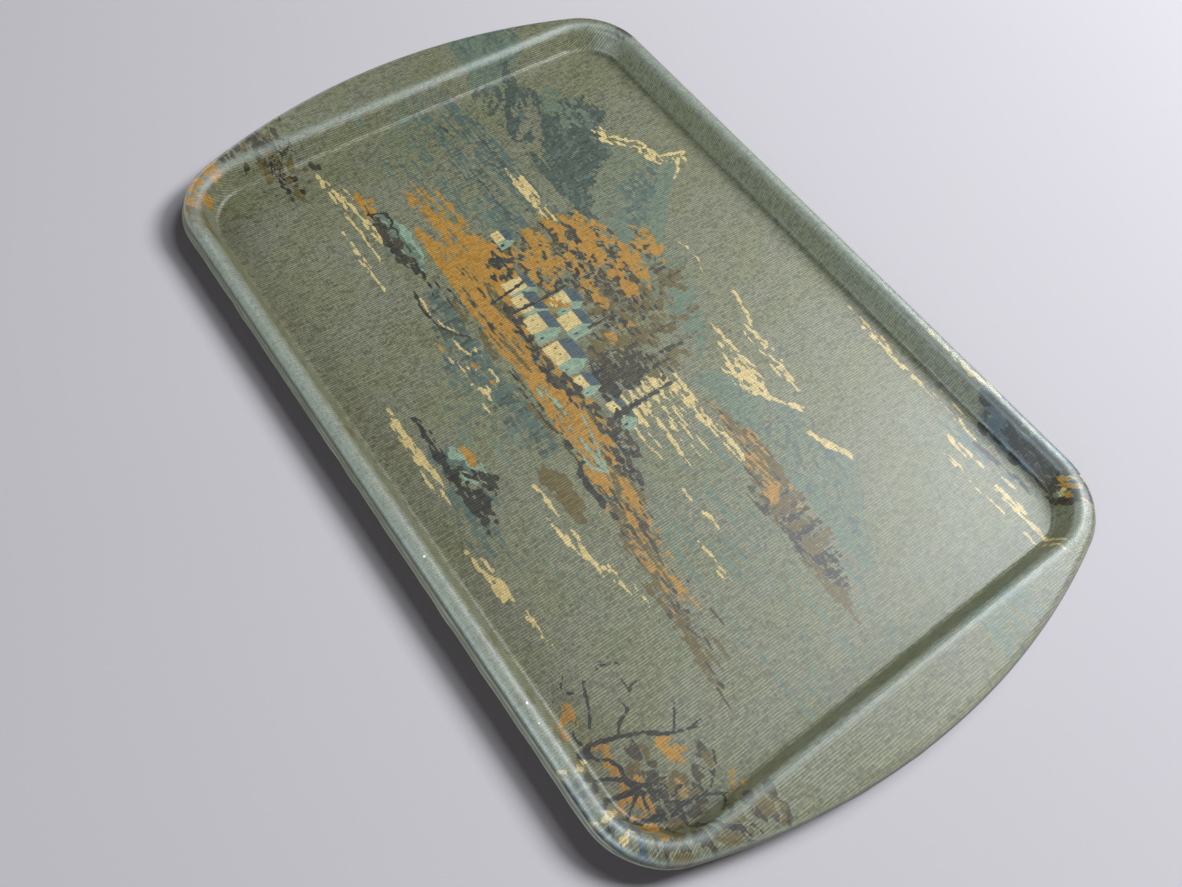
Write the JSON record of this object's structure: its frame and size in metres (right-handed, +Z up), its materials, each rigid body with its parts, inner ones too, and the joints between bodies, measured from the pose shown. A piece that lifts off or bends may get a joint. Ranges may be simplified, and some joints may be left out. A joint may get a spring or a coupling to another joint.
{
  "type": "serving tray",
  "caption": "Flat moulded serving tray with a raised rolled rim, curved end flanges to lift it by, and a printed cloth face.",
  "frame": {"origin": "middle of the underside of the floor, where the tray stands on a table", "axes": "+X along the straight long sides, +Y across them, +Z up out of the tray"},
  "size_m": [0.484, 0.305, 0.016],
  "materials": {
    "core_laminate": "satin",
    "printed_cloth": "printed linen weave",
    "clear_coat": "clear satin gloss"
  },
  "bodies": {
    "root": {"moulded_core": "core_laminate", "printed_face_cloth": "printed_cloth", "clear_face_coat": "clear_coat"}
  },
  "joints": []
}
